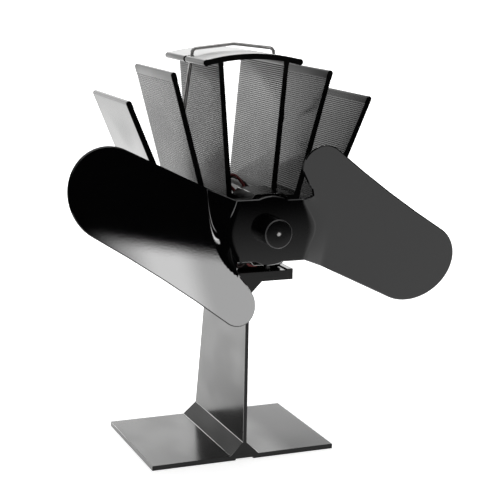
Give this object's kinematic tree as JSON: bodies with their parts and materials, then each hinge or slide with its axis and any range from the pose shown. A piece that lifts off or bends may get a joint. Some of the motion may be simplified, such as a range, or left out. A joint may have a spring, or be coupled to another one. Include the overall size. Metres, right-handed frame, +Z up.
{
  "type": "stove_fan",
  "caption": "Heat-powered stove fan: finned black aluminium heat sink on a flat-footed stand, pressed blade in front of an octagonal motor housing, lifting steel handle",
  "frame": {"origin": "middle of the outer box, on the surface that the foot stands on", "axes": "+X to the right of someone facing the blades, +Y to the back, +Z up"},
  "size_m": [0.2004, 0.1146, 0.212],
  "materials": {
    "anodised_black": "satin black anodised extrusion",
    "blade_black": "satin black anodised sheet",
    "gloss_black": "gloss black",
    "polished_steel": "polished",
    "plated_steel": "zinc plated",
    "black_steel": "black oxide",
    "bronze": "sintered",
    "copper_wire": "enamelled",
    "magnet_grey": "matte",
    "white_ceramic": "ground ceramic",
    "graphite": "matte",
    "black_rubber": "matte",
    "white_plastic": "moulded",
    "black_plastic": "moulded",
    "red_insulation": "silicone",
    "black_insulation": "silicone"
  },
  "bodies": {
    "root": {"stand": "anodised_black", "heat_sink": "anodised_black", "motor_housing": "anodised_black", "motor_sleeve": "black_rubber", "motor_can": "plated_steel", "motor_end_cap": "white_plastic", "front_bush": "bronze", "rear_bush": "bronze", "motor_magnets": "magnet_grey", "motor_brushes": "bronze", "motor_terminals": "bronze", "generator_hot_plate": "white_ceramic", "generator_cold_plate": "white_ceramic", "generator_pellets": "plated_steel", "generator_seal": "black_rubber", "hot_side_pad": "graphite", "cold_side_pad": "graphite", "red_lead": "red_insulation", "black_lead": "black_insulation", "clamp_screws": "black_steel", "clamp_bushes": "black_plastic", "spring_washers": "black_steel", "housing_screws": "black_steel"},
    "rotor": {"fan_blade": "blade_black", "fan_hub": "gloss_black", "blade_collar": "gloss_black", "motor_shaft": "polished_steel", "rotor_core": "plated_steel", "rotor_windings": "copper_wire", "commutator": "copper_wire", "thrust_washers": "white_plastic"},
    "handle": {"carry_handle": "polished_steel"}
  },
  "joints": [
    {"name": "fan_spin", "type": "hinge", "parent": "root", "child": "rotor", "pos_m": [0, -0.04313, 0.1256], "axis": [0, 1, 0], "continuous": true},
    {"name": "handle_lift", "type": "slide", "parent": "root", "child": "handle", "axis": [0, 0, 1], "range_m": [0, 0.029]}
  ]
}
